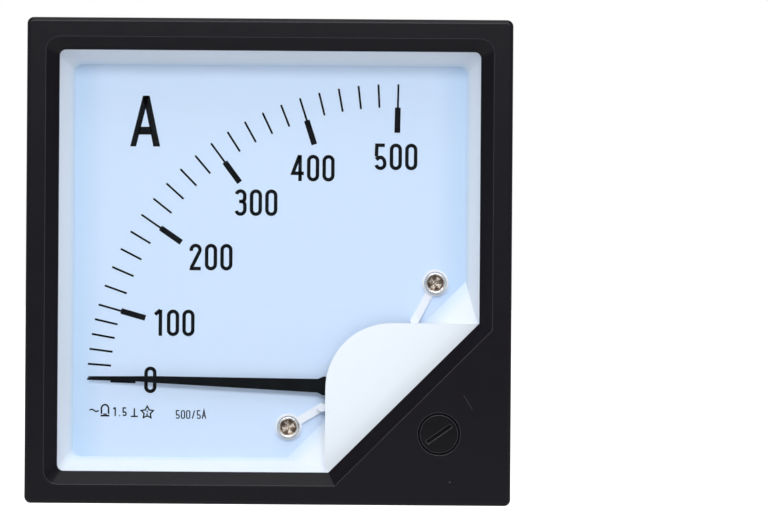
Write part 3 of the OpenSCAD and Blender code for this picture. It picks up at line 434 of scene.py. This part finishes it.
def dial_finish():
    """Pale blue paint with painted shade, a deeper blue towards its left and right edges where the
    rim shades it.
    """
    n = surface("dial_paint", linear(210, 227, 251), 0.55, specular=0.2, blotch=25.0, tone=0.012,
                grain=3000.0, relief=0.000002)
    # Painted shade: the dial turns a deeper blue towards its left and right edges.
    aside = n.math("ABSOLUTE", n.axes()[0])
    n.paint(n.mix(n.spread(aside, *DIAL_SHADE_SPAN), n.colour, linear(195, 217, 244)))
    return n.material


def mask_finish():
    """White plastic whose deep parts, close to the dial, take on the dial's blue."""
    n = surface("mask_plastic", linear(243, 247, 254), 0.45, specular=0.2, tone=0.008, grain=2500.0,
                relief=0.000001)
    depth = n.spread(n.axes()[1], DIAL_FRONT - MASK_FADE, DIAL_FRONT)
    n.paint(n.mix(depth, n.colour, linear(222, 237, 252)))
    return n.material


def stroke(n, start, end, width):
    """Mask of a straight mark on the front: 1 along its line and 0 from width away from it."""
    x, _, z = n.axes()
    run = np.array(end) - np.array(start)
    length = np.linalg.norm(run)
    run = run / length

    def measured(direction):
        parts = [n.math("MULTIPLY", n.math("SUBTRACT", place, origin), share)
                 for place, origin, share in zip((x, z), start, direction)]
        return n.math("ADD", *parts)

    aside = n.math("ABSOLUTE", measured((run[1], -run[0])))
    along = n.math("ABSOLUTE", n.math("SUBTRACT", measured(run), length / 2))
    inside = n.spread(along, length / 2, length * 0.35)
    return n.math("MULTIPLY", n.spread(aside, width, 0.0), inside)


def bezel_finish():
    """Black moulded plastic with a painted highlight along its edges, a fine scratch and a speck
    beside the plug.
    """
    n = surface("black_plastic", linear(19, 17, 23), 0.3, specular=0.18, blotch=40.0, tone=0.05,
                grain=4000.0, relief=0.000001, rough_play=0.012, edge=0.00022,
                edge_highlight=linear(78, 76, 82))
    scratch, speck = (stroke(n, *ends, MARK_REACH) for ends in (SCRATCH, SPECK))
    n.paint(n.mix(n.math("MULTIPLY", scratch, 0.6), n.colour, linear(70, 68, 74)))
    n.paint(n.mix(speck, n.colour, linear(110, 110, 116)))
    return n.material


def screw_finish():
    """Nickel, bright on the head's crown, dark brown on the disc between, and with a painted glint in
    the cross.
    """
    n = surface("screw_nickel", (0.86, 0.85, 0.83, 1), 0.2, metal=1.0, tone=0.06, grain=2500.0,
                relief=0.000004)
    y = n.axes()[1]
    deep, cross = (n.spread(y, HEAD_FRONT + start, HEAD_FRONT + full)
                   for start, full in (DISC_BROWN, CROSS_GLINT))
    # The disc is painted dark brown, and the cross below it a paler nickel as a painted glint.
    n.paint(n.mix(deep, n.colour, (0.26, 0.19, 0.14, 1)))
    n.paint(n.mix(cross, n.colour, (0.78, 0.7, 0.62, 1)))
    return n.material


def glass_finish():
    """Clear glass that lets light and shadow straight through to what lies behind it."""
    n = Nodes("window_glass")
    n.shader.inputs["Base Color"].default_value = GLASS_TINT
    n.shader.inputs["Transmission Weight"].default_value = 1.0
    n.shader.inputs["IOR"].default_value = GLASS_IOR
    smear = n.spread(n.noise(SMEAR_SCALE), NOISE_LOW, NOISE_HIGH, 0.0, SMEAR_ROUGH)
    n.feed(n.shader.inputs["Roughness"], smear)
    clear = n.add("ShaderNodeBsdfTransparent", {"Color": SHADOW_TINT})
    path = n.add("ShaderNodeLightPath")
    straight = n.math("MAXIMUM", path.outputs["Is Shadow Ray"], path.outputs["Is Diffuse Ray"])
    both = n.add("ShaderNodeMixShader")
    n.feed(both.inputs[0], straight)
    n.feed(both.inputs[1], n.shader.outputs[0])
    n.feed(both.inputs[2], clear.outputs[0])
    out = n.tree.nodes["Material Output"]
    n.feed(out.inputs["Surface"], both.outputs[0])
    return n.material


FINISHES = {
    "black_plastic": bezel_finish(),
    "case_plastic": surface("case_plastic", linear(24, 23, 26), 0.42, specular=0.4, tone=0.15,
                            grain=2500.0, relief=0.00002, edge=0.00025).material,
    # The plug's pale edge colour is a painted highlight along its rim.
    "plug_plastic": surface("plug_plastic", linear(17, 16, 20), 0.25, specular=0.2, tone=0.1,
                            grain=3000.0, relief=0.000004, rough_play=0.02, edge=0.0002,
                            edge_highlight=linear(90, 90, 94)).material,
    "white_plastic": surface("white_plastic", linear(238, 241, 248), 0.4, specular=0.2, tone=0.01,
                             grain=2500.0, relief=0.000002).material,
    "window": glass_finish(),
    "seal_rubber": surface("seal_rubber", linear(30, 30, 31), 0.85, tone=0.2, grain=2500.0,
                           relief=0.00006).material,
    "dial_paint": dial_finish(),
    "pointer_paint": surface("pointer_paint", linear(8, 12, 16), 0.35, specular=0.08, tone=0.2,
                             grain=3500.0, relief=0.000002, edge=0.0001).material,
    "nickel": surface("nickel", (0.66, 0.63, 0.58, 1), 0.24, metal=1.0, tone=0.1, grain=2500.0,
                      relief=0.00001, edge=0.0001).material,
    "steel": surface("steel", (0.5, 0.5, 0.52, 1), 0.34, metal=1.0, tone=0.12, grain=2500.0,
                     relief=0.00001, edge=0.0001).material,
    "iron": surface("iron", (0.3, 0.3, 0.31, 1), 0.45, metal=1.0, tone=0.2, grain=1800.0,
                    relief=0.00002).material,
    "brass": surface("brass", (0.68, 0.46, 0.17, 1), 0.28, metal=1.0, tone=0.12, grain=2500.0,
                     relief=0.00001, edge=0.00012).material,
    "aluminium": surface("aluminium", (0.74, 0.75, 0.76, 1), 0.38, metal=1.0, tone=0.08,
                         grain=2500.0, relief=0.00001).material,
    "casting": surface("casting", (0.5, 0.51, 0.53, 1), 0.5, metal=1.0, tone=0.14, grain=1300.0,
                       relief=0.00005).material,
    "magnet": surface("magnet", (0.12, 0.12, 0.13, 1), 0.6, metal=0.6, tone=0.2, grain=1500.0,
                      relief=0.00004).material,
    "bobbin_plastic": surface("bobbin_plastic", linear(38, 38, 42), 0.45, tone=0.15, grain=2500.0,
                              relief=0.00002).material,
    "copper_wire": surface("copper_wire", (0.62, 0.25, 0.1, 1), 0.35, metal=1.0, tone=0.18,
                           grain=2500.0, relief=0.00002).material,
    "lead_cover": surface("lead_cover", linear(150, 30, 26), 0.5, tone=0.12, grain=2500.0,
                          relief=0.00002).material,
}

MASK_PLASTIC = mask_finish()
SCREW_NICKEL = screw_finish()


def dress_nodes():
    """Gives every node of the part the finish of its material slot; the mask has one of its own."""
    for row in frame["record"]["subparts"]:
        mesh = NODES[row["node"]].data
        mesh.materials.clear()
        own = row["node"] == "dial_mask"
        mesh.materials.append(MASK_PLASTIC if own else FINISHES[row["material_slot"]])


# ---------------------------------------------------------------- screw heads of the dial

CROWN_IN, CROWN_H = 1.9 * MM, 0.45 * MM
CROSS_REACH, CROSS_HALF, CROSS_DEPTH, END_SLOPE = 1.7 * MM, 0.62 * MM, 0.5 * MM, 0.55
CROSS_TURNS = (20.0, 58.0)
FOOT_SHARE, FOOT_H, TIP_SHARE, TIP_H = 0.985, 0.1 * MM, 0.8, 0.3 * MM
HEAD_ROWS, HEAD_COLS = 64, 144
POLE = 1e-9


def cross_depth(x, z):
    """Depth of the cross recess at a point of the head: two crossed bars, each as deep as its
    nearest wall allows, steeper at the sides than at the ends."""
    def bar(along, across):
        side = CROSS_HALF - np.abs(across)
        end = (CROSS_REACH - np.abs(along)) * END_SLOPE
        return np.clip(np.minimum(side, end), 0, CROSS_DEPTH)
    return np.maximum(bar(x, z), bar(z, x))


def dial_screw(at, name, seat, end, turn):
    """Screw with a crowned rim: rows run from the middle of the head out over the rim, down its
    wall, in under it and down the shank to its end. The head is flat within the rim, the rim is
    half a wave of a sine across its width, and the cross recess is taken off both."""
    angle = np.arange(HEAD_COLS) * 2 * math.pi / HEAD_COLS
    r = np.linspace(0, HEAD_R, HEAD_ROWS)
    across = np.clip((r - CROWN_IN) / (HEAD_R - CROWN_IN), 0, 1)
    height = HEAD_H - CROWN_H * (1 - np.sin(math.pi * across))
    t = angle[None, :] - math.radians(turn)
    depth = seat - height[:, None] + cross_depth(r[:, None] * np.cos(t), r[:, None] * np.sin(t))
    tail_r = np.array([HEAD_R, HEAD_R * FOOT_SHARE, SHANK_R, SHANK_R, SHANK_R * TIP_SHARE, POLE])
    tail_y = np.array([seat - FOOT_H, seat, seat, end - TIP_H, end, end])
    radius = np.repeat(np.concatenate([r, tail_r])[:, None], HEAD_COLS, 1)
    depth = np.vstack([depth, np.repeat(tail_y[:, None], HEAD_COLS, 1)])
    points = turned(radius, depth, angle, at)
    quads = grid_quads(len(radius), HEAD_COLS, wrap_cols=True)
    return make_piece(name, points, quads, SCREW_NICKEL, smooth=True)


def dial_screws():
    low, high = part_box("dial_screws")
    places = [(low[0] + HEAD_R, low[2] + HEAD_R), (high[0] - HEAD_R, high[2] - HEAD_R)]
    for i, (at, turn) in enumerate(zip(places, CROSS_TURNS)):
        screw = dial_screw(at, f"dial_screw_{i + 1}", HEAD_FRONT + HEAD_H, high[1], turn)
        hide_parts("dial_screws")


# ---------------------------------------------------------------- threaded terminal studs

STUD_R, THREAD_PITCH, THREAD_CUT = 3.0 * MM, 1.0 * MM, 0.52 * MM
TOOTH_SLOPE, TOOTH_FLAT = 2.6, 0.25
HEX_FLAT, HEX_H = 5.0 * MM, 4.0 * MM
CHAMFER_LEN, CHAMFER_STEP = 0.9 * MM, 0.8 * MM
STUD_ROWS, STUD_COLS = 230, 60
SEAM = 1e-6


def terminal_stud(at, name, head, seat, end):
    """Stud: a hexagon head, then a thread whose radius falls and rises once a pitch while it winds
    round, and a chamfered end. The hexagon's radius is its flat distance over the
    cosine of the angle to the nearest flat's middle."""
    angle = np.arange(STUD_COLS) * 2 * math.pi / STUD_COLS
    hexagon = HEX_FLAT / np.cos((angle % (math.pi / 3)) - math.pi / 6)
    y = np.linspace(seat, end, STUD_ROWS)
    phase = ((y[:, None] - seat) / THREAD_PITCH - angle[None, :] / (2 * math.pi)) % 1.0
    tooth = np.clip(np.abs(phase - 0.5) * TOOTH_SLOPE - TOOTH_FLAT, 0, 1)
    chamfer = 1 - np.clip((end - y[:, None]) / CHAMFER_LEN, 0, 1)
    radius = np.minimum(STUD_R - THREAD_CUT * tooth, STUD_R - CHAMFER_STEP * chamfer)
    pole, neck = np.full((1, STUD_COLS), POLE), np.full((1, STUD_COLS), STUD_R)
    rows_r = np.vstack([pole, hexagon[None], hexagon[None], neck, radius, pole])
    rows_y = np.concatenate([[head, head, seat - SEAM, seat - SEAM], y, [end]])
    points = turned(rows_r, np.repeat(rows_y[:, None], STUD_COLS, 1), angle, at)
    return make_piece(name, points, grid_quads(len(rows_y), STUD_COLS, wrap_cols=True),
                      FINISHES["brass"], smooth=True)


def terminal_studs():
    low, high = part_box("terminal_studs")
    z = (low[2] + high[2]) / 2
    reach = HEX_FLAT * 2 / math.sqrt(3)
    for i, x in enumerate((low[0] + reach, high[0] - reach)):
        stud = terminal_stud((x, z), f"terminal_stud_{i + 1}", low[1], low[1] + HEX_H, high[1])
        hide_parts("terminal_studs")


# ---------------------------------------------------------------- floor, light and camera

FLOOR_HALF, FLOOR_TONE, FLOOR_DARK = 6.0, 0.7, 0.04
FLOOR_GLOW, FLOOR_GLOSS, FLOOR_FADE = 0.9, 0.7, (-0.35, -0.15)
# Grey level of the studio by direction: -1 is straight in front of the meter, 0 beside it and
# 1 behind.
STUDIO = [(-1.0, 0.02), (-0.9, 0.02), (-0.8, 0.6), (-0.42, 0.6), (-0.22, 0.07), (0.3, 0.07),
          (0.6, 0.45), (1.0, 0.5)]
# Least level that lights matt surfaces, and where the white behind the meter begins and is full.
AMBIENT, WHITE_BEHIND = 0.45, (0.35, 0.75)


def floor():
    """Wide pale floor under the frame: lit as matt paint, lightened to white where it is seen
    straight, and dark in gloss but for a bright patch close to the frame."""
    z = CAD_BOX[0][2]
    corners = [(FLOOR_HALF * x, FLOOR_HALF * y, z) for x, y in ((-1, -1), (1, -1), (1, 1), (-1, 1))]
    mesh = bpy.data.meshes.new("floor")
    mesh.from_pydata(corners, [], [(0, 1, 2, 3)])
    obj = bpy.data.objects.new("floor", mesh)
    bpy.context.scene.collection.objects.link(obj)
    n = Nodes("floor_paint")
    path = n.add("ShaderNodeLightPath")
    tones = [(grey, grey, grey, 1) for grey in (FLOOR_TONE, FLOOR_DARK)]
    n.paint(n.mix(path.outputs["Is Glossy Ray"], *tones))
    n.shader.inputs["Roughness"].default_value = 0.9
    n.shader.inputs["Specular IOR Level"].default_value = 0.0
    seen = n.math("MULTIPLY", path.outputs["Is Camera Ray"], FLOOR_GLOW)
    close = n.spread(n.axes()[1], *FLOOR_FADE, 0.0, FLOOR_GLOSS)
    mirrored = n.math("MULTIPLY", path.outputs["Is Glossy Ray"], close)
    n.shader.inputs["Emission Color"].default_value = (1, 1, 1, 1)
    n.feed(n.shader.inputs["Emission Strength"], n.math("MAXIMUM", seen, mirrored))
    mesh.materials.append(n.material)


def world():
    """Studio: white where it is seen straight, and behind the object for gloss and glass; elsewhere
    grey, with a dark patch straight in front, a brighter ring round it and dim sides."""
    made = bpy.data.worlds.new("studio")
    made.use_nodes = True
    bpy.context.scene.world = made
    tree = made.node_tree
    new = tree.nodes.new
    link = tree.links.new
    place = new("ShaderNodeTexCoord")
    parts = new("ShaderNodeSeparateXYZ")
    link(place.outputs["Generated"], parts.inputs[0])
    path = new("ShaderNodeLightPath")

    def ranged(low, high, to_low, to_high, source, kind="LINEAR"):
        node = new("ShaderNodeMapRange")
        node.interpolation_type = kind
        limits = {"From Min": low, "From Max": high, "To Min": to_low, "To Max": to_high}
        for key, value in limits.items():
            node.inputs[key].default_value = value
        link(source, node.inputs["Value"])
        return node.outputs["Result"]

    def maths(operation, a, b):
        node = new("ShaderNodeMath")
        node.operation = operation
        link(a, node.inputs[0])
        link(b, node.inputs[1])
        return node.outputs[0]

    ramp = new("ShaderNodeValToRGB")
    link(ranged(-1.0, 1.0, 0.0, 1.0, parts.outputs["Y"]), ramp.inputs["Fac"])
    stops = ramp.color_ramp.elements
    for turn, grey in STUDIO[1:-1]:
        stops.new((turn + 1) / 2).color = (grey, grey, grey, 1)
    for stop, (turn, grey) in ((stops[0], STUDIO[0]), (stops[len(stops) - 1], STUDIO[-1])):
        stop.color = (grey, grey, grey, 1)
    behind = ranged(*WHITE_BEHIND, 0.0, 1.0, parts.outputs["Y"], "SMOOTHSTEP")
    mirrored = maths("MAXIMUM", path.outputs["Is Glossy Ray"], path.outputs["Is Transmission Ray"])
    ambient = ranged(0.0, 1.0, 0.0, AMBIENT, path.outputs["Is Diffuse Ray"])
    level = maths("MAXIMUM", ramp.outputs["Color"], ambient)
    white = maths("MAXIMUM", path.outputs["Is Camera Ray"], maths("MULTIPLY", mirrored, behind))
    dim, pale = tree.nodes["Background"], new("ShaderNodeBackground")
    link(level, dim.inputs["Color"])
    pale.inputs["Color"].default_value = (1, 1, 1, 1)
    pale.inputs["Strength"].default_value = 1.0
    both = new("ShaderNodeMixShader")
    link(white, both.inputs[0])
    link(dim.outputs[0], both.inputs[1])
    link(pale.outputs[0], both.inputs[2])
    link(both.outputs[0], tree.nodes["World Output"].inputs["Surface"])


# Lamps that face the middle of the part: place, size of the panel and power.
LAMPS = {"top_soft": ((0.0, -0.25, 0.75), (0.5, 0.7), 2.0),
         "front_soft": ((0.0, -1.15, 0.48), (0.9, 0.35), 8.2)}


def lamp(name, at, size, power):
    data = bpy.data.lights.new(name, "AREA")
    data.shape = "RECTANGLE"
    data.size, data.size_y = size
    data.energy = power
    obj = bpy.data.objects.new(name, data)
    bpy.context.scene.collection.objects.link(obj)
    obj.location = at
    obj.rotation_euler = Vector(at).to_track_quat("Z", "Y").to_euler()


LENS, SENSOR = 266.0, 36.0
CAMERA_AT = (0.02843, -1.414, -0.00017)
CAMERA_ROLL = -0.4
CAMERA_CLIP = (0.1, 50.0)


def camera():
    """Straight in front of the face, a little to its right, as far as the long lens needs."""
    data = bpy.data.cameras.new("camera")
    data.lens, data.sensor_width = LENS, SENSOR
    data.clip_start, data.clip_end = CAMERA_CLIP
    obj = bpy.data.objects.new("camera", data)
    bpy.context.scene.collection.objects.link(obj)
    obj.location = CAMERA_AT
    obj.rotation_euler = (math.pi / 2, math.radians(CAMERA_ROLL), 0)
    bpy.context.scene.camera = obj


# ---------------------------------------------------------------- the whole scene

bpy.context.scene.view_settings.view_transform = "Standard"
for default in ("Cube", "Light", "Camera"):
    if default in bpy.data.objects:
        bpy.data.objects.remove(bpy.data.objects[default])

camera()
world()
for name, (at, size, power) in LAMPS.items():
    lamp(name, at, size, power)
floor()
dress_nodes()

marks, figures, signs = Print(), Print(), Print()
scale_marks(marks)
for text, centre in FIGURES:
    write(figures, text, np.array(centre) * MM, FIGURE_CELL, FIGURE_PITCH, FIGURE_STROKE)
big_unit(figures)
small_signs(signs)
for paint, name in ((marks, "scale_marks"), (figures, "scale_figures"), (signs, "dial_signs")):
    paint.piece(name, "pointer_paint", FINISHES["pointer_paint"])
dial_screws()
terminal_studs()
